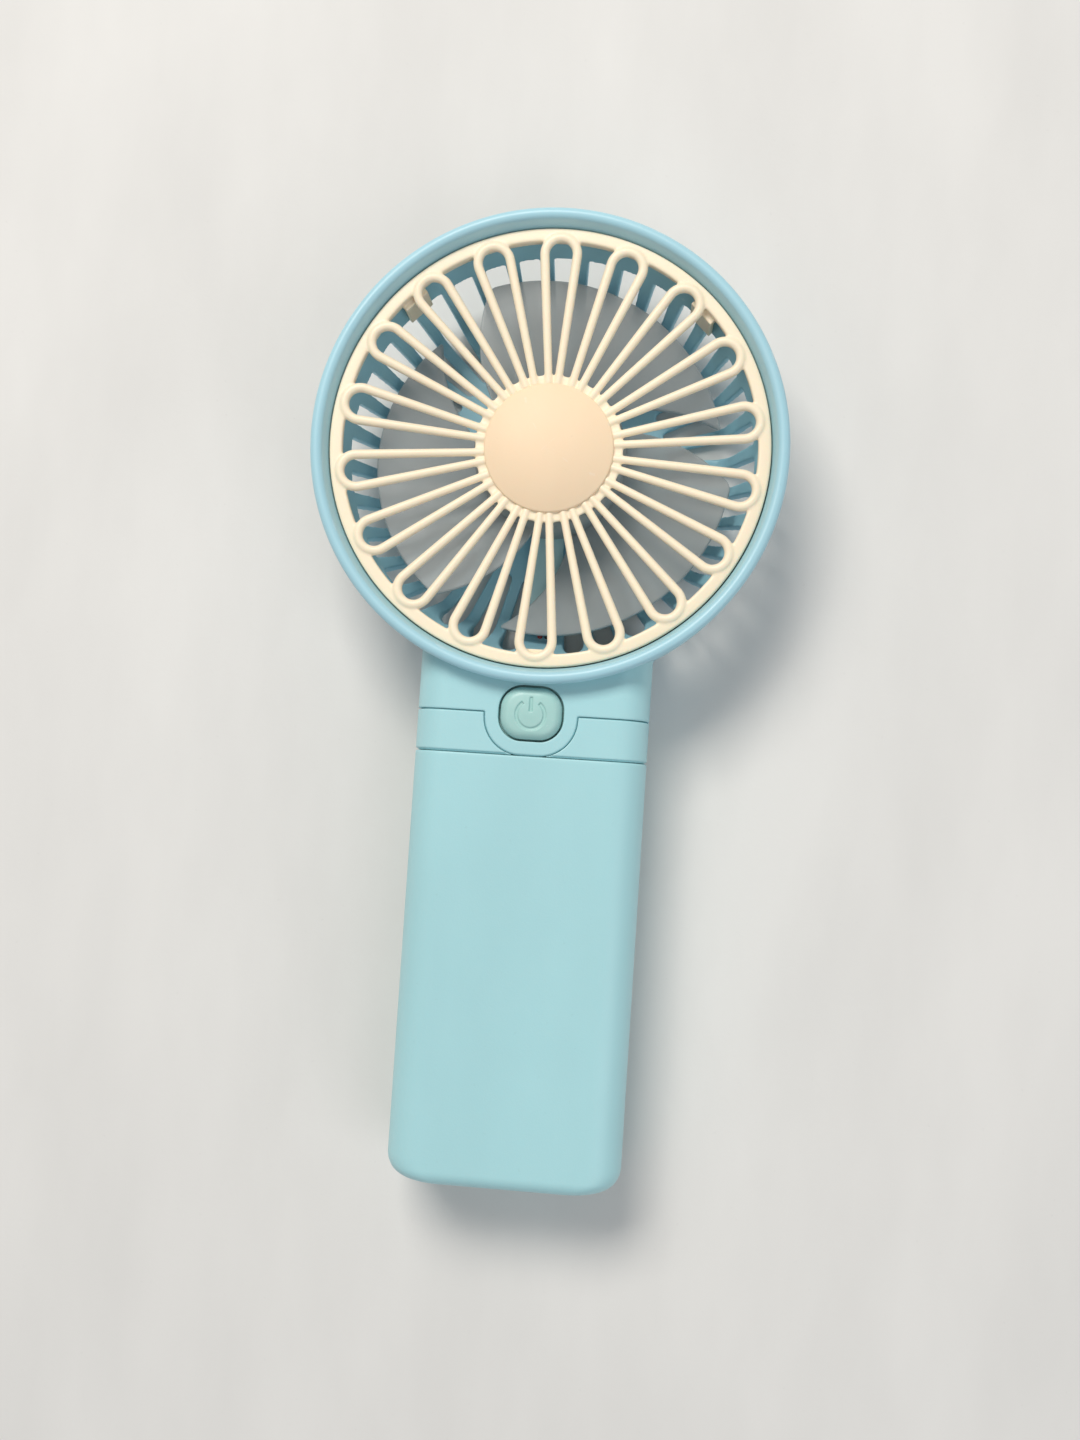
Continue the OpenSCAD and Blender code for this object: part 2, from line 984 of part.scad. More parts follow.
module armature_core() {
    core_r = 2.6;
    color([0.55, 0.56, 0.58])
        at_rotor()
            plate(core_low, core_top_z)
                difference() {
                    union() {
                        circle(core_r);
                        for (i = [0:2])
                            rotate(i * 120)
                                pole();
                    }
                    circle(shaft_r - press);
                }
}

// a coil of wire round each pole, as one closed winding
module armature_windings() {
    near = 3.7;
    length = 3.3;
    coil_w = 5;
    coil_h = 6.8;
    coil_round = 1.6;
    wrap = 0.05;
    color(copper)
        at_rotor()
            for (i = [0:2])
                rotate(i * 120)
                    difference() {
                        translate([near, 0, (core_low + core_top_z) / 2])
                            rotate([90, 0, 90])
                                linear_extrude(length)
                                    round_rect(coil_w, coil_h, coil_round);
                        translate([near - 1, -pole_root_w / 2 - wrap, core_low - wrap])
                            cube([length + 2, pole_root_w + 2 * wrap, core_top_z - core_low + 2 * wrap]);
                    }
}

module commutator() {
    commutator_l = 2.55;
    split = 0.3;
    color(copper)
        at_rotor()
            difference() {
                tube(commutator_r, shaft_r - press, commutator_low, commutator_low + commutator_l);
                for (i = [0:2])
                    rotate(60 + i * 120)
                        translate([1.5, -split / 2, commutator_low - 1])
                            cube([2, split, commutator_l + 2]);
            }
}

// two leaf brushes, one each side of the commutator
module motor_brushes() {
    leaf_t = 0.3;
    leaf_h = 1.2;
    leaf_l = 11.4;
    leaf_gap = 0.2;
    color(copper)
        at_rotor()
            for (s = [-1, 1])
                translate([
                    s * (commutator_r + leaf_gap + leaf_t / 2) - leaf_t / 2,
                    terminal_y + 0.2,
                    commutator_low + 0.15
                ])
                    cube([leaf_t, leaf_l, leaf_h]);
}

module motor_terminals() {
    below = 1;
    above = 2.6;
    color(steel)
        at_rotor()
            for (s = [-1, 1])
                translate([s * terminal_x - terminal_w / 2, terminal_y, motor_low - below])
                    cube([terminal_w, terminal_t, can_low - motor_low + below + above]);
}

// ---------- button, switch and board ----------

module button_cap() {
    flange = 0.6;
    flange_t = 1;
    top_z = body_t + 1.1;
    top_t = 0.9;
    side_t = 1.4;
    dome_h = 0.8;
    dome_r = 30;
    low_z = shell_in_z - 0.1 - flange_t;
    color(shell_blue)
        difference() {
            union() {
                plate(shell_in_z - 1, top_z)
                    button_outline();
                intersection() {
                    plate(top_z - 0.1, top_z + dome_h)
                        button_outline();
                    translate([0, button_y, top_z + dome_h - dome_r])
                        sphere(r = dome_r, $fn = 180);
                }
                plate(low_z, low_z + flange_t)
                    button_outline(flange);
            }
            difference() {
                plate(low_z - 1, top_z - top_t)
                    button_outline(-side_t);
                translate([0, button_y, plunger_top])
                    cylinder(r = plunger_r, h = 5);
            }
            power_mark(top_z);
        }
}

// a power mark, sunk into the button's face: an open ring and a bar
module power_mark(z) {
    mark_r = 2.9;
    line = 0.45;
    gap = 70;
    sunk_from = 0.45;
    translate([0, button_y - 0.3, z + sunk_from]) {
        rotate(90 + gap / 2)
            rotate_extrude(angle = 360 - gap)
                translate([mark_r - line / 2, 0])
                    square([line, 2]);
        translate([-line / 2, 0.6, 0])
            cube([line, mark_r, 2]);
    }
}

module switch_plunger() {
    inside = 1;
    color([0.15, 0.15, 0.16])
        translate([0, button_y, switch_top - inside])
            cylinder(r = plunger_r, h = plunger_top - switch_top + inside);
}

module switch_body() {
    switch_w = 6;
    color([0.25, 0.25, 0.27])
        difference() {
            translate([-switch_w / 2, button_y - switch_w / 2, board_top])
                cube([switch_w, switch_w, switch_h]);
            translate([0, button_y, switch_top - 1 - 2 * button_travel])
                cylinder(r = plunger_r + 0.08, h = 5);
        }
}

module control_board() {
    board_w = 19;
    board_l = 23;
    color([0.1, 0.4, 0.25])
        translate([-board_w / 2, board_y, board_low])
            cube([board_w, board_l, board_t]);
}

// driver chip, transistor, two resistors and a capacitor
module board_components() {
    chip_y = core_top - 13;
    low_row_y = chip_y - 4;
    color([0.12, 0.12, 0.13]) {
        translate([-7, chip_y, board_top])
            cube([5, 4, 1.6]);
        translate([1, low_row_y, board_top])
            cube([3, 2, 1.1]);
        for (i = [0, 1])
            translate([-6 + i * 3, low_row_y, board_top])
                cube([2, 1.2, 0.6]);
        translate([6, chip_y + 2, board_top])
            cylinder(r = 2, h = 3.4);
    }
}

// ---------- wiring and fasteners ----------

// a motor lead: terminal, channel along the bowl, through the shoulder, up to the board
module motor_lead(side) {
    run_x = 0.85;
    run_z = bowl_wall + 0.7;
    duct_z = run_z + 0.25;
    wire([
        [side * terminal_x, head_y + terminal_y - 0.45, run_z],
        [side * run_x, head_y - motor_r - 0.6, run_z],
        [side * run_x, head_y - 30, duct_z],
        [side * run_x, head_y - 46.6, duct_z],
        [side * 3, top_seam_y - 4, run_z + 4.5],
        [side * 5, core_top - 11, board_low - 4],
        [side * 5, core_top - 12, board_low]
    ]);
}

module motor_lead_red() {
    color("firebrick")
        motor_lead(-1);
}

module motor_lead_black() {
    color([0.1, 0.1, 0.1])
        motor_lead(1);
}

// the positive lead starts at the left cell's top plate
module battery_lead_red() {
    valley_x = -cell_pitch / 2;
    color("firebrick")
        wire([
            [-lead_tab_x, bay_top - 1, lead_z + 0.2],
            [valley_x - 0.2, bay_top - 1.2, lead_z],
            [valley_x, bay_top + 2, lead_z],
            [valley_x, bay_top + 8, lead_z],
            [valley_x - 0.6, core_top - 18.5, board_top + lead_r]
        ]);
}

// the negative lead runs the length of the bay, in the valley between two cells
module battery_lead_black() {
    valley_x = cell_pitch / 2;
    color([0.1, 0.1, 0.1])
        wire([
            [lead_tab_x, bay_low + 1, lead_z + 0.2],
            [valley_x + 0.2, bay_low + 2.2, lead_z],
            [valley_x, bay_low + 6, lead_z],
            [valley_x, bay_top - 6, lead_z],
            [valley_x, bay_top + 8, lead_z],
            [valley_x + 0.6, core_top - 18.5, board_top + lead_r]
        ]);
}

// a strip that lies on the channel's ribs and keeps the leads out of the blades
module wire_cover() {
    cover_w = 2 * channel_x + channel_rib_t;
    cover_t = 0.8;
    color(shell_blue)
        translate([-cover_w / 2, head_y - channel_far, channel_top])
            cube([cover_w, channel_far - cup_out_r - 0.1, cover_t]);
}

// self-tapping screws, driven from the back into the front shell
module shell_screws() {
    screw_head_r = 2.1;
    screw_head_h = 1.4;
    recess_l = 2.6;
    recess_w = 0.5;
    recess_t = 0.7;
    screw_head_z = screw_seat_z - 1 - screw_head_h;
    color(steel)
        for (s = [-1, 1])
            translate([s * screw_x, screw_y, screw_head_z]) {
                difference() {
                    cylinder(r = screw_head_r, h = screw_head_h);
                    for (a = [0, 90])
                        rotate(a)
                            translate([-recess_l / 2, -recess_w / 2, -1])
                                cube([recess_l, recess_w, recess_t + 1]);
                }
                translate([0, 0, screw_head_h - 0.1])
                    cylinder(r = shaft_r, h = part_z + 2.6);
            }
}

front_shell();
rear_shell();
collar();
battery_sleeve();
battery_core();
front_grille();
hub_cap();
fan_rotor();
motor_can();
motor_end_cap();
motor_magnets();
motor_shaft();
front_bush();
rear_bush();
armature_core();
armature_windings();
commutator();
motor_brushes();
motor_terminals();
button_cap();
switch_plunger();
switch_body();
control_board();
board_components();
motor_lead_red();
motor_lead_black();
battery_lead_red();
battery_lead_black();
wire_cover();
cell(-1, 1);  // cell_left
cell(0, -1);  // cell_middle
cell(1, 1);  // cell_right
top_contact_plates();
end_contact_plates();
contact_springs();
shell_screws();
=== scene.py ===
"""Handheld battery fan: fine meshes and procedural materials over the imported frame.

Shapes are drawn in millimetres in the row frame and turned into metres as each piece is placed.
"""
import json
import math

import bmesh
import bpy
from mathutils import Matrix, Vector


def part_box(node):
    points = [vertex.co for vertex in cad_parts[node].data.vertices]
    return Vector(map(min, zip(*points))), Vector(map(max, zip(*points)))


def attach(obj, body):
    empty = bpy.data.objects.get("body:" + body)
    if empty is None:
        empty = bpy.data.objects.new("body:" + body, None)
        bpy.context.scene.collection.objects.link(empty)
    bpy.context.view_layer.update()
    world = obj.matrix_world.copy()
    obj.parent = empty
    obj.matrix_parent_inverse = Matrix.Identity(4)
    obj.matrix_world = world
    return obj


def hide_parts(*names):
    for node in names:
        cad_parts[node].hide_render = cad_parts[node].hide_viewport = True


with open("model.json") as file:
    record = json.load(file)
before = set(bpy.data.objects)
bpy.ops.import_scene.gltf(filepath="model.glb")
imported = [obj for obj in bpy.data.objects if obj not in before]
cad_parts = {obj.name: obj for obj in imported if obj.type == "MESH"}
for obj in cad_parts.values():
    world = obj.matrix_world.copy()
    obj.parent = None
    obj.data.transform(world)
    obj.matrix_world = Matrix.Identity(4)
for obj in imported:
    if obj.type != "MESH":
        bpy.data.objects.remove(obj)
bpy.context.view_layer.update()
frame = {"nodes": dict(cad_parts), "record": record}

MM = 0.001
scene = bpy.context.scene
scene.view_settings.view_transform = "Standard"


def span(node):
    """A CAD node's lowest and highest corners, in millimetres."""
    low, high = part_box(node)
    return low / MM, high / MM


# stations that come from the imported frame
grille_low, grille_high = span("front_grille")
shell_low, shell_high = span("front_shell")
sleeve_low, sleeve_high = span("battery_sleeve")
collar_low, collar_high = span("collar")
cap_low, cap_high = span("hub_cap")
button_low, button_high = span("button_cap")
rotor_low, rotor_high = span("fan_rotor")

HEAD_Y = (grille_low.y + grille_high.y) / 2
LIP_Z = shell_high.z
GRILLE_Z = grille_high.z
PART_Z = shell_low.z
HANDLE_W = sleeve_high.x - sleeve_low.x
HANDLE_T = sleeve_high.z - sleeve_low.z
END_Y = sleeve_low.y
BUTTON_Y = (button_low.y + button_high.y) / 2
TOP_SEAM = BUTTON_Y
EDGE_R = 7
WALL = 1.8
SHELL_IN = HANDLE_T - WALL
NECK_TOP = HEAD_Y - 36
HEAD_R = 46.1
SCREW_X = 17
SCREW_Y = HEAD_Y - 49.5
MOTOR_R = 12.25
CUP_R = 14
LOOP_COUNT = 18
SLOT_COUNT = 35
BLADE_COUNT = 3

# ---------- camera and light ----------


def camera():
    """The photograph's viewing angle: from above, slightly to the handle's side."""
    forward = Vector((-0.06818, 0.03979, -0.99688)).normalized()
    up = Vector((-0.06317, 0.99703, 0.04411))
    right = forward.cross(up).normalized()
    up = right.cross(forward)
    data = bpy.data.cameras.new("camera")
    data.lens = 36.34
    data.sensor_width = 36
    data.sensor_fit = "AUTO"
    data.clip_start = 0.01
    data.clip_end = 20
    cam = bpy.data.objects.new("camera", data)
    turn = Matrix((right, up, -forward)).transposed().to_4x4()
    cam.matrix_world = Matrix.Translation(Vector((22.12, -16.38, 319.5)) * MM) @ turn
    scene.collection.objects.link(cam)
    scene.camera = cam


def lamp(name, place, target, size, power, colour):
    """A soft rectangular light, aimed at a point."""
    data = bpy.data.lights.new(name, "AREA")
    data.shape = "RECTANGLE"
    data.size, data.size_y = size
    data.energy = power
    data.color = colour
    obj = bpy.data.objects.new(name, data)
    obj.location = Vector(place)
    obj.rotation_euler = (Vector(target) - Vector(place)).to_track_quat("-Z", "Y").to_euler()
    scene.collection.objects.link(obj)


def lights():
    lamp("key", (-0.35, 0.75, 1.05), (0, 0, 0), (0.7, 0.45), 14, (1, 0.955, 0.89))
    lamp("fill", (0.7, -0.5, 0.9), (0, 0, 0), (0.9, 0.9), 3.6, (0.93, 0.97, 1))
    world = bpy.data.worlds.new("studio")
    world.use_nodes = True
    sky = world.node_tree.nodes["Background"]
    sky.inputs["Color"].default_value = (0.93, 0.96, 1, 1)
    sky.inputs["Strength"].default_value = 0.34
    scene.world = world


# ---------- materials ----------


class Paint:
    """A material's node tree, with short calls for the nodes that the recipes below share."""

    def __init__(self, name):
        self.material = bpy.data.materials.new(name)
        self.material.use_nodes = True
        self.tree = self.material.node_tree
        self.shader = self.tree.nodes["Principled BSDF"]
        self.place = self.add("ShaderNodeTexCoord").outputs["Object"]

    def add(self, kind, **settings):
        node = self.tree.nodes.new(kind)
        for key, value in settings.items():
            setattr(node, key, value)
        return node

    def link(self, source, target):
        self.tree.links.new(source, target)

    def noise(self, scale, detail=3, rough=0.55, stretch=None):
        source = self.place
        if stretch:
            mapping = self.add("ShaderNodeMapping")
            mapping.inputs["Scale"].default_value = stretch
            self.link(source, mapping.inputs["Vector"])
            source = mapping.outputs["Vector"]
        node = self.add("ShaderNodeTexNoise")
        node.inputs["Scale"].default_value = scale
        node.inputs["Detail"].default_value = detail
        node.inputs["Roughness"].default_value = rough
        self.link(source, node.inputs["Vector"])
        return node.outputs["Fac"]

    def spread(self, source, low, high, to_low=0.0, to_high=1.0):
        node = self.add("ShaderNodeMapRange")
        node.inputs["From Min"].default_value = low
        node.inputs["From Max"].default_value = high
        node.inputs["To Min"].default_value = to_low
        node.inputs["To Max"].default_value = to_high
        self.link(source, node.inputs["Value"])
        return node.outputs["Result"]

    def mix(self, amount, first, second):
        node = self.add("ShaderNodeMix", data_type="RGBA")
        self.link(amount, node.inputs["Factor"])
        for value, socket in ((first, node.inputs[6]), (second, node.inputs[7])):
            if isinstance(value, tuple):
                socket.default_value = (*value, 1)
            else:
                self.link(value, socket)
        return node.outputs[2]

    def bump(self, height, strength, distance, under=None):
        node = self.add("ShaderNodeBump")
        node.inputs["Strength"].default_value = strength
        node.inputs["Distance"].default_value = distance
        self.link(height, node.inputs["Height"])
        if under:
            self.link(under, node.inputs["Normal"])
        return node.outputs["Normal"]

    def fixed(self, **values):
        for key, value in values.items():
            self.shader.inputs[key.replace("_", " ")].default_value = value

    def set(self, **sources):
        for key, source in sources.items():
            self.link(source, self.shader.inputs[key.replace("_", " ")])


def shade(colour, factor):
    return tuple(min(1, channel * factor) for channel in colour)


def moulded(name, colour, rough, sss=0.0, sss_colour=(1, 0.6, 0.4), coat=0.0, grain=2600):
    """Satin moulded plastic: spark-eroded grain, slight flow marks, specks, paler edges that are partly
    rubbed wear and partly a painted highlight.
    """
    p = Paint(name)
    flow = p.spread(p.noise(28, 4, stretch=(1, 0.35, 1)), 0.35, 0.65)
    tone = p.mix(flow, shade(colour, 0.965), shade(colour, 1.03))
    dust = p.spread(p.noise(900, 2), 0.70, 0.78, 0, 0.10)
    tone = p.mix(dust, tone, shade(colour, 0.55))
    # paler convex edges: a painted highlight where edges catch light, together with some rubbed wear
    rubbed_and_highlit = p.spread(p.add("ShaderNodeNewGeometry").outputs["Pointiness"], 0.53, 0.60, 0, 0.22)
    tone = p.mix(rubbed_and_highlit, tone, tuple(0.5 + 0.5 * c for c in colour))
    fine = p.noise(grain, 3, 0.6)
    handled = p.noise(60, 4, 0.6)
    p.set(
        Base_Color=tone,
        Roughness=p.spread(handled, 0.3, 0.7, rough - 0.05, rough + 0.07),
        Normal=p.bump(fine, 0.16, 0.00012, p.bump(handled, 0.05, 0.0004)),
    )
    p.fixed(Subsurface_Weight=sss, Subsurface_Scale=0.0012, IOR=1.5, Coat_Weight=coat, Coat_Roughness=0.25)
    p.shader.inputs["Subsurface Radius"].default_value = sss_colour
    return p.material


def frosted(name, colour):
    """Frosted translucent plastic, paler along its edges: a painted highlight where the edges catch light.
    """
    p = Paint(name)
    cloud = p.spread(p.noise(45, 3), 0.3, 0.7)
    tone = p.mix(cloud, shade(colour, 0.95), shade(colour, 1.04))
    # edge lightening: a painted highlight along the blade edges
    edge = p.spread(p.add("ShaderNodeNewGeometry").outputs["Pointiness"], 0.52, 0.58, 0, 0.75)
    tone = p.mix(edge, tone, (0.62, 0.66, 0.66))
    p.set(
        Base_Color=tone,
        Roughness=p.spread(p.noise(300, 3), 0.3, 0.7, 0.42, 0.55),
        Normal=p.bump(p.noise(3200, 3, 0.6), 0.14, 0.0001),
    )
    p.fixed(Subsurface_Weight=0.25, Subsurface_Scale=0.001, IOR=1.47, Alpha=0.64)
    p.shader.inputs["Subsurface Radius"].default_value = (0.9, 1, 1)
    return p.material


def metal(name, colour, rough, brushed=(1, 1, 1), tarnish=0.75):
    """Metal with fine brushing and darker handled patches."""
    p = Paint(name)
    streak = p.noise(700, 4, 0.6, stretch=brushed)
    patch = p.spread(p.noise(120, 3), 0.35, 0.7)
    tone = p.mix(patch, colour, shade(colour, tarnish))
    p.set(
        Base_Color=tone,
        Roughness=p.spread(streak, 0.3, 0.7, rough - 0.08, rough + 0.12),
        Normal=p.bump(streak, 0.12, 0.00008),
    )
    p.fixed(Metallic=1.0)
    return p.material


def wound_copper(name):
    """Enamelled copper: the turns show as fine ridges, with painted shade in the grooves between them."""
    p = Paint(name)
    wave = p.add("ShaderNodeTexWave", wave_type="BANDS", bands_direction="Z")
    wave.inputs["Scale"].default_value = 900
    wave.inputs["Distortion"].default_value = 0.4
    p.link(p.place, wave.inputs["Vector"])
    ridge = wave.outputs["Fac"]
    p.set(
        # dark bands between the turns are painted shade
        Base_Color=p.mix(ridge, (0.32, 0.11, 0.04), (0.78, 0.36, 0.17)),
        Roughness=p.spread(p.noise(400), 0.3, 0.7, 0.22, 0.38),
        Normal=p.bump(ridge, 0.5, 0.0001),
    )
    p.fixed(Metallic=0.9)
    return p.material


def board(name):
    """Solder mask over copper tracks, with woven glass under it."""
    p = Paint(name)
    brick = p.add("ShaderNodeTexBrick")
    brick.inputs["Scale"].default_value = 260
    brick.inputs["Mortar Size"].default_value = 0.03
    p.link(p.place, brick.inputs["Vector"])
    track = brick.outputs["Fac"]
    weave = p.noise(2500, 2)
    p.set(
        Base_Color=p.mix(track, (0.012, 0.12, 0.05), (0.03, 0.26, 0.12)),
        Roughness=p.spread(weave, 0.3, 0.7, 0.25, 0.4),
        Normal=p.bump(track, 0.3, 0.00005, p.bump(weave, 0.1, 0.00004)),
    )
    return p.material


def insulation(name, colour):
    """Soft wire insulation, a little dusty."""
    p = Paint(name)
    dust = p.spread(p.noise(500, 3), 0.55, 0.8, 0, 0.25)
    p.set(
        Base_Color=p.mix(dust, colour, tuple(0.25 + 0.5 * c for c in colour)),
        Roughness=p.spread(p.noise(350), 0.3, 0.7, 0.35, 0.5),
        Normal=p.bump(p.noise(1800), 0.1, 0.00005),
    )
    return p.material


def jacket(name):
    """A cell's printed film: one dark band and one coloured band, no lettering."""
    p = Paint(name)
    split = p.add("ShaderNodeSeparateXYZ")
    p.link(p.place, split.inputs["Vector"])
    band = p.spread(split.outputs["Y"], -0.0582, -0.0580)
    tone = p.mix(band, (0.03, 0.035, 0.045), (0.62, 0.28, 0.08))
    scuff = p.spread(p.noise(260, 5, 0.65, stretch=(1, 0.2, 1)), 0.6, 0.75, 0, 0.35)
    p.set(
        Base_Color=p.mix(scuff, tone, (0.4, 0.4, 0.42)),
        Roughness=p.spread(p.noise(200), 0.3, 0.7, 0.2, 0.34),
        Normal=p.bump(p.noise(900), 0.06, 0.00006),
    )
    p.fixed(Metallic=0.35, Coat_Weight=0.3)
    return p.material


SHELL = (0.40, 0.68, 0.72)
# the shell plastic made bluer: painted shade for the rim's shaded lip
SHADED_RIM_SHELL = (0.40, 0.66, 0.75)
# the shell plastic made deeper blue: painted shade for the inside of the bowl
SHADED_BOWL_SHELL = (0.33, 0.62, 0.74)
looks = {
    "shell_plastic": moulded("shell_plastic", SHELL, 0.40, sss=0.08, sss_colour=(0.5, 0.9, 1)),
    "core_plastic": moulded("core_plastic", (0.80, 0.81, 0.80), 0.45),
    "grille_plastic": moulded("grille_plastic", (0.96, 0.82, 0.62), 0.42, sss=0.2),
    "cap_plastic": moulded("cap_plastic", (0.92, 0.71, 0.49), 0.58, sss=0.15),
    # the blades' grey is darker than the plastic's own tint: partly painted shade for the inside of the
    # head
    "blade_plastic": frosted("blade_plastic", (0.48, 0.52, 0.54)),
    "bare_steel": metal("bare_steel", (0.56, 0.57, 0.58), 0.3, brushed=(1, 1, 12)),
    "nickel_plate": metal("nickel_plate", (0.72, 0.70, 0.66), 0.22, tarnish=0.85),
    "ferrite": moulded("ferrite", (0.06, 0.06, 0.065), 0.7),
    "bush_metal": metal("bush_metal", (0.55, 0.40, 0.20), 0.42),
    "copper": wound_copper("copper"),
    "black_plastic": moulded("black_plastic", (0.022, 0.022, 0.025), 0.5),
    "circuit_board": board("circuit_board"),
    "red_insulation": insulation("red_insulation", (0.45, 0.02, 0.015)),
    "black_insulation": insulation("black_insulation", (0.015, 0.015, 0.016)),
    "cell_jacket": jacket("cell_jacket"),
}
# a copy of the shell plastic with painted shade, for the bowl
shaded_bowl_look = moulded("bowl_plastic_painted_shade", SHADED_BOWL_SHELL, 0.42, sss=0.08, sss_colour=(0.5, 0.9, 1))
# a copy of the shell plastic with painted shade, for the rim
shaded_rim_look = moulded("rim_plastic_painted_shade", SHADED_RIM_SHELL, 0.36, sss=0.08, sss_colour=(0.5, 0.9, 1))
button_look = moulded("button_plastic", (0.39, 0.64, 0.61), 0.38, sss=0.08, sss_colour=(0.5, 1, 0.9))
floor_look = moulded("floor_paper", (0.74, 0.73, 0.71), 0.85, grain=700)

# ---------- mesh tools ----------


def solid(name, points, faces):
    mesh = bpy.data.meshes.new(name)
    mesh.from_pydata([tuple(p) for p in points], [], faces)
    mesh.validate()
    mesh.update()
    obj = bpy.data.objects.new(name, mesh)
    scene.collection.objects.link(obj)
    return obj


def loft(name, rings, folded=False):
    """A closed solid through rings of equally many points, capped at both ends.

    folded caps join each point to its opposite across a flat ring, as on a blade's curved tip.
    """
    n = len(rings[0])
    points = [p for ring in rings for p in ring]
    faces = [
        (i * n + j, i * n + (j + 1) % n, (i + 1) * n + (j + 1) % n, (i + 1) * n + j)
        for i in range(len(rings) - 1)
        for j in range(n)
    ]
    for start in (0, (len(rings) - 1) * n):
        if folded:
            faces += [
                (start + i, start + i + 1, start + n - 2 - i, start + n - 1 - i)
                for i in range(n // 2 - 1)
            ]
        else:
            faces.append(tuple(range(start, start + n)))
    return outward(solid(name, points, faces))


def outward(obj):
    """Turns a closed mesh's faces outwards."""
    work = bmesh.new()
    work.from_mesh(obj.data)
    bmesh.ops.recalc_face_normals(work, faces=work.faces)
    work.to_mesh(obj.data)
    work.free()
    return obj


def arc(centre, radius, start, stop, steps):
    """Points from start to stop degrees, both ends included."""
    return [
        (
            centre[0] + radius * math.cos(math.radians(start + (stop - start) * i / steps)),
            centre[1] + radius * math.sin(math.radians(start + (stop - start) * i / steps)),
        )
        for i in range(steps + 1)
    ]


def lathe(name, profile, steps=300, centre=(0, 0)):
    """Turns a closed outline of (radius, z) about Z; points on the axis become poles."""
    points, index = [], []
    for r, z in profile:
        if r < 1e-6:
            index.append([len(points)] * steps)
            points.append((centre[0], centre[1], z))
        else:
            index.append(list(range(len(points), len(points) + steps)))
            points += [
                (
                    centre[0] + r * math.cos(2 * math.pi * k / steps),
                    centre[1] + r * math.sin(2 * math.pi * k / steps),
                    z,
                )
                for k in range(steps)
            ]
    faces = []
    for i in range(len(profile)):
        a, b = index[i], index[(i + 1) % len(profile)]
        for k in range(steps):
            corners = [a[k], a[(k + 1) % steps], b[(k + 1) % steps], b[k]]
            face = [c for j, c in enumerate(corners) if c not in corners[:j]]
            if len(face) > 2:
                faces.append(face)
    return outward(solid(name, points, faces))


def round_rect(width, height, radius, steps=12, shy=0.5):
    """A rounded rectangle about (0, 0), with an extra point near the ends of each straight."""
    radius = min(radius, width / 2 - 0.01, height / 2 - 0.01)
    points = []
    corners = ((1, 1, 0), (-1, 1, 90), (-1, -1, 180), (1, -1, 270))
    for sx, sy, start in corners:
        centre = (sx * (width / 2 - radius), sy * (height / 2 - radius))
        bend = arc(centre, radius, start, start + 90, steps)
        a, b = math.radians(start), math.radians(start + 90)
        points.append((bend[0][0] + shy * math.sin(a), bend[0][1] - shy * math.cos(a)))
        points += bend
        points.append((bend[-1][0] - shy * math.sin(b), bend[-1][1] + shy * math.cos(b)))
    return points


def across(outline, y):
    """An outline in X and Z, about the handle's middle, as a ring at y."""
    return [(x, y, z + HANDLE_T / 2) for x, z in outline]


def prism(name, outline, low, high):
    """An outline in X and Y between two heights."""
    return loft(name, [[(x, y, z) for x, y in outline] for z in (low, high)])


def block(name, low, high):
    outline = ((low[0], low[1]), (high[0], low[1]), (high[0], high[1]), (low[0], high[1]))
    return prism(name, outline, low[2], high[2])


def rod(name, path, radii, sides=20):
    """A round rod along a path of points that never runs along Z."""
    rings = []
    for i, point in enumerate(path):
        run = (path[min(i + 1, len(path) - 1)] - path[max(i - 1, 0)]).normalized()
        side = run.cross(Vector((0, 0, 1))).normalized()
        up = side.cross(run)
        rings.append([
            point
            + radii[i] * (math.cos(2 * math.pi * k / sides) * side + math.sin(2 * math.pi * k / sides) * up)
            for k in range(sides)
        ])
    return loft(name, rings)


def settle(obj):
    """Makes an object's modifiers part of its mesh."""
    graph = bpy.context.evaluated_depsgraph_get()
    mesh = bpy.data.meshes.new_from_object(obj.evaluated_get(graph))
    obj.modifiers.clear()
    obj.data = mesh
    return obj


def combine(obj, tool, operation):
    """Adds or cuts a closed tool, which is used up."""
    step = obj.modifiers.new(operation, "BOOLEAN")
    step.operation = operation
    step.solver = "MANIFOLD"
    step.object = tool
    settle(obj)
    bpy.data.objects.remove(tool)
    return obj


def cut(obj, *tools):
    for tool in tools:
        combine(obj, tool, "DIFFERENCE")
    return obj


def join(name, objs):
    """One mesh that holds several, side by side or overlapping."""
    points, faces = [], []
    for obj in objs:
        start = len(points)
        points += [tuple(v.co) for v in obj.data.vertices]
        faces += [tuple(start + k for k in face.vertices) for face in obj.data.polygons]
        bpy.data.objects.remove(obj)
    return solid(name, points, faces)


def melt(obj, voxel, passes=4, factor=0.5):
    """Joins overlapping solids into one skin and softens its edges, as a mould does."""
    step = obj.modifiers.new("voxels", "REMESH")
    step.mode = "VOXEL"
    step.voxel_size = voxel
    soft = obj.modifiers.new("soft", "SMOOTH")
    soft.factor = factor
    soft.iterations = passes
    return settle(obj)


def place(obj, name, body, slot, *nodes, look=None):
    """Turns a finished piece into metres, and gives it its name, body and its slot's material."""
    obj.data.transform(Matrix.Scale(MM, 4))
    obj.name = obj.data.name = name
    obj.data.materials.clear()
    obj.data.materials.append(look or looks[slot])
    obj.data.polygons.foreach_set("use_smooth", [True] * len(obj.data.polygons))
    obj.data.update()
    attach(obj, body)
    if nodes:
        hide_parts(*nodes)
    return obj


# ---------- handle ----------


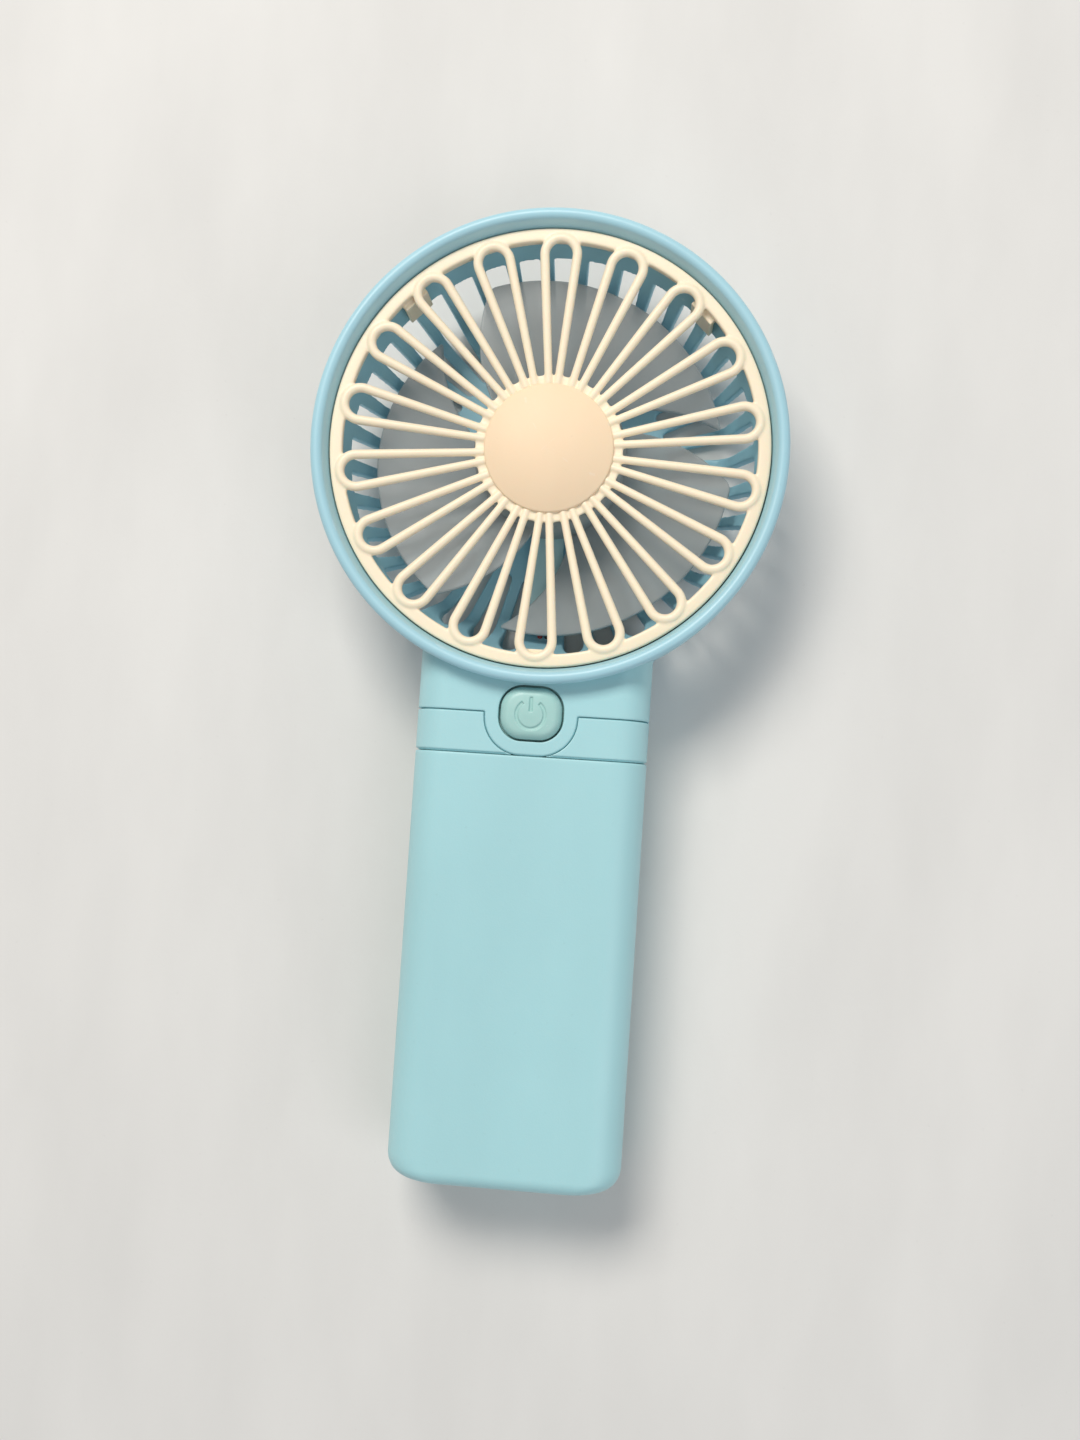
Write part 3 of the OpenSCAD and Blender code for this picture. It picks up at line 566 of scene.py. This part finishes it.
def sleeve():
    """The battery sleeve: long soft edges, round lower corners, a bright rolled edge at its mouth."""
    top = sleeve_high.y
    plan_r, end_r, lip_r, wall = 5.5, 3.0, 0.35, 1.7

    def ring(y, inset_x, inset_z, radius=EDGE_R):
        return across(round_rect(HANDLE_W - 2 * inset_x, HANDLE_T - 2 * inset_z, radius, 14), y)

    rings = []
    for i in range(25):
        depth = plan_r * (1 - math.cos(math.radians(90 * i / 24)))
        inset_x = plan_r - math.sqrt(plan_r**2 - (plan_r - depth) ** 2)
        inset_z = end_r - math.sqrt(max(0, end_r**2 - max(0, end_r - depth) ** 2))
        rings.append(ring(END_Y + depth, inset_x, inset_z))
    straight = END_Y + plan_r
    rings += [ring(straight + (top - 1 - straight) * i / 40, 0, 0) for i in range(1, 41)]
    for angle in range(0, 91, 15):
        a = math.radians(angle)
        rings.append(ring(top - lip_r + lip_r * math.sin(a), *[lip_r * (1 - math.cos(a))] * 2))
    for depth in (0, 0.2, 1):
        rings.append(ring(top - depth, wall, wall, EDGE_R - wall))
    rings.append(ring(END_Y + WALL, wall, wall, EDGE_R - wall))
    place(loft("sleeve", rings), "battery_sleeve_fine", "sleeve", "shell_plastic", "battery_sleeve")


def section(name, low, high, inset=0.0, steps=16):
    """The handle's cross-section between two stations."""
    outline = round_rect(HANDLE_W - 2 * inset, HANDLE_T - 2 * inset, EDGE_R - inset, steps)
    return loft(name, [across(outline, low), across(outline, high)])


def button_outline(grow=0.0, steps=16):
    outline = round_rect(12.8 + 2 * grow, 10.9 + 2 * grow, 4.6 + grow, steps, shy=0.1)
    return [(x, y + BUTTON_Y) for x, y in outline]


def collar():
    body = section("collar", collar_low.y, collar_high.y)
    cut(
        body,
        section("bore", collar_low.y - 1, collar_high.y + 1, WALL),
        prism("notch", button_outline(3.3), SHELL_IN - 1, HANDLE_T + 1),
    )
    step = section("step", collar_low.y - 0.36, collar_high.y + 0.24, 0.5)
    cut(
        step,
        section("bore", collar_low.y - 1, collar_high.y + 1, WALL - 0.02),
        prism("notch", button_outline(3.25), SHELL_IN - 1, HANDLE_T + 1),
    )
    combine(body, step, "UNION")
    place(melt(body, 0.17, 3), "collar_fine", "casing", "shell_plastic", "collar")


def neck_tube():
    """The neck's outer shape with its bore, from the seam to inside the head."""
    neck = section("neck", TOP_SEAM, NECK_TOP)
    return cut(neck, section("bore", TOP_SEAM - 1, NECK_TOP + 1, WALL))


def front_shell():
    """The neck's front half with its tongue, melted into one skin, and the turned rim."""
    neck = neck_tube()
    cut(
        neck,
        block("rear", (-30, -20, -5), (30, 30, PART_Z)),
        lathe("head", [(0, 5), (HEAD_R, 5), (HEAD_R, 40), (0, 40)], 300, (0, HEAD_Y)),
    )
    tongue = prism("tongue", button_outline(3.0), SHELL_IN, HANDLE_T)
    ledge = prism("ledge", button_outline(3.22), SHELL_IN, HANDLE_T - 0.5)
    combine(tongue, ledge, "UNION")
    cut(tongue, block("above", (-20, TOP_SEAM + 1, 0), (20, 30, 40)))
    combine(neck, tongue, "UNION")
    cut(neck, prism("hole", button_outline(0.3), SHELL_IN - 2, HANDLE_T + 2))
    melt(neck, 0.18, 3)

    bead, bead_r = (47.6, LIP_Z - 1.3), 1.3
    seat = GRILLE_Z - 3.5
    profile = [(45.6, PART_Z), (45.6, seat - 1.5), (44.3, seat - 1.5), (44.2, seat - 1.4)]
    profile += [(44.2, seat - 0.1), (44.3, seat), (45.6, seat)]
    profile += [(45.55, 24.4), (45.6, 24.9), (45.75, 25.4), (46.2, 26.6)]
    profile += arc(bead, bead_r, 155, -40, 24)
    profile += [(48.5, 26.0), (48.5, 25.6), (48.5, 20), (48.5, PART_Z + 0.3), (48.35, PART_Z + 0.08)]
    profile += [(48.1, PART_Z)]
    rim = lathe("rim", profile, 360, (0, HEAD_Y))
    place(neck, "front_neck_fine", "casing", "shell_plastic", "front_shell")
    # the rim wears the shell plastic with painted shade
    place(rim, "front_rim_fine", "casing", "shell_plastic", "front_shell", look=shaded_rim_look)


def rear_shell():
    """The slotted bowl with the neck's rear half, its posts and the motor's cup."""
    wall, shoulder_c, shoulder_r, side = 2.1, 34.56, 6.0, 67.7
    spigot, top, flange = 45.4, PART_Z + 2.6, PART_Z - 1.6

    def lean(inset, z):
        foot = shoulder_r - (shoulder_r - inset) * math.cos(math.radians(side))
        out = shoulder_c + (shoulder_r - inset) * math.sin(math.radians(side))
        return out + (z - foot) / math.tan(math.radians(side))

    centre = (shoulder_c, shoulder_r)
    outer = [(0, 0)] + arc(centre, shoulder_r, -90, side - 90, 16)
    outer += [(lean(0, flange), flange), (46.9, flange)] + arc((46.9, PART_Z), 1.6, -90, 0, 8)
    outer += [(spigot, PART_Z), (spigot, top), (0, top)]
    inner = [(0, wall)] + arc(centre, shoulder_r - wall, -90, side - 90, 16)
    inner += [(lean(wall, top + 2), top + 2), (0, top + 2)]
    body = lathe("bowl", outer, 360, (0, HEAD_Y))

    neck = neck_tube()
    cut(neck, block("front", (-30, -20, PART_Z), (30, 30, 40)))
    combine(body, neck, "UNION")
    post_low, post_r, post_top = 0.9, 2.9, PART_Z - 0.1
    post = [(0, post_low), (post_r, post_low), (post_r, post_top), (0, post_top)]
    for side_x in (-SCREW_X, SCREW_X):
        combine(body, lathe("post", post, 64, (side_x, SCREW_Y)), "UNION")
    cut(body, lathe("hollow", inner, 360, (0, HEAD_Y)), join("slots", air_slots(flange - 0.3)))
    bore_r, recess_r, recess_top = 1.25, 2.3, 3.2
    bore = [(0, -2), (bore_r, -2), (bore_r, 20), (0, 20)]
    recess = [(0, -2), (recess_r, -2), (recess_r, recess_top), (0, recess_top)]
    for side_x in (-SCREW_X, SCREW_X):
        cut(
            body,
            lathe("bore", bore, 48, (side_x, SCREW_Y)),
            lathe("seat", recess, 64, (side_x, SCREW_Y)),
        )
    foot, cup_top, ledge_top = 1.6, 9, 3.5
    ledge_r = MOTOR_R - 1.4
    cup = [(MOTOR_R, foot), (CUP_R, foot), (CUP_R, cup_top), (MOTOR_R, cup_top)]
    ledge = [(ledge_r, foot), (MOTOR_R + 0.1, foot), (MOTOR_R + 0.1, ledge_top), (ledge_r, ledge_top)]
    rib_x, rib_t, rib_top = 2.7, 1, 3.9
    ribs = [
        block("rib", (x - rib_t / 2, NECK_TOP, foot), (x + rib_t / 2, HEAD_Y - CUP_R, rib_top))
        for x in (-rib_x, rib_x)
    ]
    cup = lathe("cup", cup, 180, (0, HEAD_Y))
    ledge = lathe("ledge", ledge, 180, (0, HEAD_Y))
    body = join("rear", [body, cup, ledge, *ribs])
    # the bowl wears the shell plastic with painted shade
    place(
        melt(body, 0.34, 3),
        "rear_shell_fine", "casing", "shell_plastic", "rear_shell", look=shaded_bowl_look,
    )


def air_slots(top):
    """The bowl's slots as solids: open through its side, but round-ended towards the neck."""
    pitch, rib_half, far, near = 10, 1.225, 39.5, 26.0
    half = math.radians(pitch / 2)
    far_r, near_r = (c * math.sin(half) / math.cos(half) - rib_half for c in (far, near))
    slots = []
    for k in range(SLOT_COUNT):
        angle = -80 + pitch * k
        turn = math.radians(angle)
        if -60 < angle < 240:
            outline = [(50, -far_r), (50, far_r), (far, far_r)]
        else:
            outline = arc((far, 0), far_r, -85, 85, 12)
        outline += arc((near, 0), near_r, 95, 265, 10)
        if -60 < angle < 240:
            outline.append((far, -far_r))
        slots.append(prism("slot", [
            (x * math.cos(turn) - y * math.sin(turn), HEAD_Y + x * math.sin(turn) + y * math.cos(turn))
            for x, y in outline
        ], -2, top))
    return slots


# ---------- grille ----------


def grille():
    """Ring, skirt, hub ring, clips and hairpin loops, melted into one moulding."""
    tilt = math.radians(3.5)
    loop_r, loop_c, splay, leg = 3.36, 40.05, 5.25, 26.66
    tip_r, hub_rod_r = 1.0, 0.82
    sweep = 90 + splay
    path, radii = [], []
    end = Vector((loop_r * math.cos(math.radians(sweep)), -loop_r * math.sin(math.radians(sweep)), 0))
    inward = Vector((-math.cos(math.radians(splay)), math.sin(math.radians(splay)), 0))
    legs = [i / 14 for i in range(14, 0, -1)]
    for t in legs:
        path.append(end + inward * leg * t)
        radii.append(tip_r + (hub_rod_r - tip_r) * t)
    for x, y in arc((0, 0), loop_r, -sweep, sweep, 36):
        path.append(Vector((x, y, 0)))
        radii.append(tip_r)
    for t in reversed(legs):
        point = end + inward * leg * t
        path.append(Vector((point.x, -point.y, 0)))
        radii.append(tip_r + (hub_rod_r - tip_r) * t)
    lean = Matrix.Rotation(-tilt, 4, "Y")
    pieces = []
    centre = Matrix.Translation((0, HEAD_Y, 0))
    for k in range(LOOP_COUNT):
        turn = Matrix.Rotation(math.radians(90 + 360 * k / LOOP_COUNT), 4, "Z")
        where = centre @ turn @ Matrix.Translation((loop_c, 0, GRILLE_Z - 0.6))
        pieces.append(rod("loop", [where @ (lean @ p) for p in path], radii, 24))
    low, out, thick = GRILLE_Z - 1.6, 45.35, 2.7
    edge_r = 0.5
    edge_z = GRILLE_Z - edge_r
    ring = [(out - thick, low), (out, low), (out, edge_z)]
    ring += arc((out - edge_r, edge_z), edge_r, 0, 90, 6)
    ring += arc((out - thick + edge_r, edge_z), edge_r, 90, 180, 6)
    pieces.append(lathe("ring", ring, 360, (0, HEAD_Y)))
    seat, skirt_in, skirt_out = GRILLE_Z - 3.5, out - thick + 0.5, out - thick + 2
    skirt = [(skirt_in, seat), (skirt_out, seat), (skirt_out, low + 0.5), (skirt_in, low + 0.5)]
    pieces.append(lathe("skirt", skirt, 360, (0, HEAD_Y)))
    face = GRILLE_Z - 1.95
    hub_r, round_r, under = 15.3, 0.3, GRILLE_Z - 2.9
    hub = [(0, under), (hub_r - 0.2, under), (hub_r, under + 0.2), (hub_r, face - round_r)]
    hub += arc((hub_r - round_r, face - round_r), round_r, 0, 90, 5) + [(0, face)]
    pieces.append(lathe("hub", hub, 240, (0, HEAD_Y)))
    clip_half = 3
    for angle in (45, 135, 270):
        turn = centre @ Matrix.Rotation(math.radians(angle), 4, "Z")
        for low_x, high_x, low_z, high_z in (
            (41.5, 42.6, PART_Z - 1.5, seat + 1.5),
            (41.5, 43.5, seat, seat + 1.5),
        ):
            clip = block("clip", (low_x, -clip_half, low_z), (high_x, clip_half, high_z))
            clip.data.transform(turn)
            pieces.append(clip)
    body = join("grille", pieces)
    place(melt(body, 0.22, 4), "front_grille_fine", "casing", "grille_plastic", "front_grille")


def hub_cap():
    """The domed cap, a slice of a sphere on a short straight edge."""
    foot, radius, edge, rise = cap_low.z - 1, 13.35, 1.5, cap_high.z - cap_low.z - 0.5
    dome_r = (radius**2 + rise**2) / (2 * rise)
    top = foot + edge + rise
    profile = [(0, foot), (radius, foot), (radius, foot + edge - 0.1)]
    reach = math.degrees(math.asin((radius - 0.12) / dome_r))
    profile += [
        (dome_r * math.sin(math.radians(a)), top - dome_r + dome_r * math.cos(math.radians(a)))
        for a in [reach * (1 - i / 60) for i in range(60)]
    ]
    profile.append((0, top))
    place(lathe("cap", profile, 360, (0, HEAD_Y)), "hub_cap_fine", "casing", "cap_plastic", "hub_cap")


# ---------- rotor ----------


def blade(turn):
    """One swept, pitched blade with round edges, from inside the hub to its tip."""
    tip, root, thick, corner, taper = 38.3, 15.2, 1.2, 1.2, 1.3
    across_n, out_n, edge_n = 60, 40, 6
    chord, edge_r = 66, 0.4

    def lead(r):
        return 12.5 + 1.5 * (tip - r)

    def trail(r):
        return 113.5 + 1.25 * (tip - r)

    def middle(u):
        return 6 + 10.4 * u + 0.8 * math.sin(math.pi * u)

    def reach(u):
        short = max(0, corner - min(u, 1 - u) * chord)
        return tip - taper * (1 - u) - corner + math.sqrt(corner**2 - short**2)

    # one turn round the blade's section: (share of the way across, side, share of the thickness)
    half = [(1 - math.cos(math.pi * i / across_n)) / 2 for i in range(across_n + 1)]
    section_loop = [(u, 1) for u in half] + [(u, -1) for u in reversed(half)]
    rings = []
    for j in range(out_n + edge_n + 1):
        t = j / out_n if j <= out_n else 1
        a = math.radians(90 * max(0, j - out_n) / edge_n)
        ring = []
        for u, side in section_loop:
            r = root + (reach(u) - edge_r - root) * t + edge_r * math.sin(a)
            angle = math.radians(lead(r) + (trail(r) - lead(r)) * u + turn)
            inboard = min(u, 1 - u) * chord
            rounding = math.sqrt(max(0.0, 1 - max(0, 1 - inboard / (thick / 2)) ** 2))
            height = thick / 2 * max(0.06, math.cos(a)) * max(0.06, rounding)
            ring.append((r * math.cos(angle), HEAD_Y + r * math.sin(angle), middle(u) + side * height))
        rings.append(ring)
    return loft("blade", rings, folded=True)


def rotor():
    """The cup-shaped hub, its boss on the shaft, and the blades."""
    out, shell, crown, top, low = 15.9, 1.3, 1.5, rotor_high.z, 6.0
    profile = [(out - shell, low), (out, low)] + arc((out - crown, top - crown), crown, 0, 90, 14)
    profile += [(0, top), (0, top - 1.6), (out - shell - 0.4, top - 1.6), (out - shell, top - 2)]
    hub = lathe("hub", profile, 240, (0, HEAD_Y))
    shaft_r, boss_r, boss_low, boss_top = 1.0, 3, 17.4, 20.4
    boss = [(shaft_r, boss_low), (boss_r, boss_low), (boss_r, boss_top), (shaft_r, boss_top)]
    boss = lathe("boss", boss, 64, (0, HEAD_Y))
    body = join("rotor", [hub, boss, *[blade(360 / BLADE_COUNT * k) for k in range(BLADE_COUNT)]])
    place(body, "fan_rotor_fine", "rotor", "blade_plastic", "fan_rotor")


# ---------- button ----------


def button():
    """A pillowy push button with a plain power mark sunk in its face."""
    top, round_r = button_high.z, 1.7
    low = button_low.z

    def ring(inset, z_of):
        radius = max(0.4, 4.6 - inset)
        outline = round_rect(12.8 - 2 * inset, 10.9 - 2 * inset, radius, 16, shy=0.1)
        return [(x, y + BUTTON_Y, z_of(x, y)) for x, y in outline]

    def crowned(drop):
        return lambda x, y: top - drop - (x * x + y * y) / 60

    rings = [ring(0.1, lambda x, y: low + 0.9)]
    for angle in range(0, 91, 10):
        a = math.radians(angle)
        rings.append(ring(0.1 + round_r * (1 - math.cos(a)), crowned(round_r * (1 - math.sin(a)))))
    rings += [ring(inset, crowned(0)) for inset in (2.2, 3, 4, 5)]
    cap = loft("cap", rings)
    flange = prism("flange", button_outline(0.55), low, low + 1.0)
    combine(cap, flange, "UNION")
    plunger_top = span("switch_plunger")[1].z
    pillar_r = 1.6
    pillar = [(0, plunger_top), (pillar_r, plunger_top), (pillar_r, top + 1), (0, top + 1)]
    pocket = prism("pocket", button_outline(-1.4), low - 1, top - 1.7)
    cut(pocket, lathe("pillar", pillar, 60, (0, BUTTON_Y)))
    cut(cap, pocket)
    mark_r, gap, deep = 2.9, 70, 0.24
    face = top - 0.14
    ring_path = [
        Vector((x, y + BUTTON_Y - 0.3, face + 0.25 - deep))
        for x, y in arc((0, 0), mark_r, 90 + gap / 2, 450 - gap / 2, 60)
    ]
    bar_path = [Vector((0, BUTTON_Y + 0.3 + 3.0 * i / 8, face + 0.25 - deep)) for i in range(9)]
    cut(
        cap,
        rod("ring", ring_path, [0.4] * len(ring_path), 16),
        rod("bar", bar_path, [0.4] * len(bar_path), 16),
    )
    place(melt(cap, 0.1, 3), "button_cap_fine", "button", "shell_plastic", "button_cap", look=button_look)


# ---------- CAD nodes that stay ----------


def carry_over():
    """Gives every CAD node its slot's material."""
    slots = {part["node"]: part["material_slot"] for part in frame["record"]["subparts"]}
    for node, obj in frame["nodes"].items():
        look = looks[slots[node]]
        if obj.material_slots:
            for place_for in obj.material_slots:
                place_for.material = look
        else:
            obj.data.materials.append(look)


def floor():
    """A plain pale sheet under the fan."""
    size = 3.0
    corners = [(x, y, 0) for x, y in ((-size, -size), (size, -size), (size, size), (-size, size))]
    sheet = solid("floor", corners, [(0, 1, 2, 3)])
    sheet.data.materials.append(floor_look)


camera()
lights()
floor()
carry_over()
sleeve()
collar()
front_shell()
rear_shell()
grille()
hub_cap()
rotor()
button()
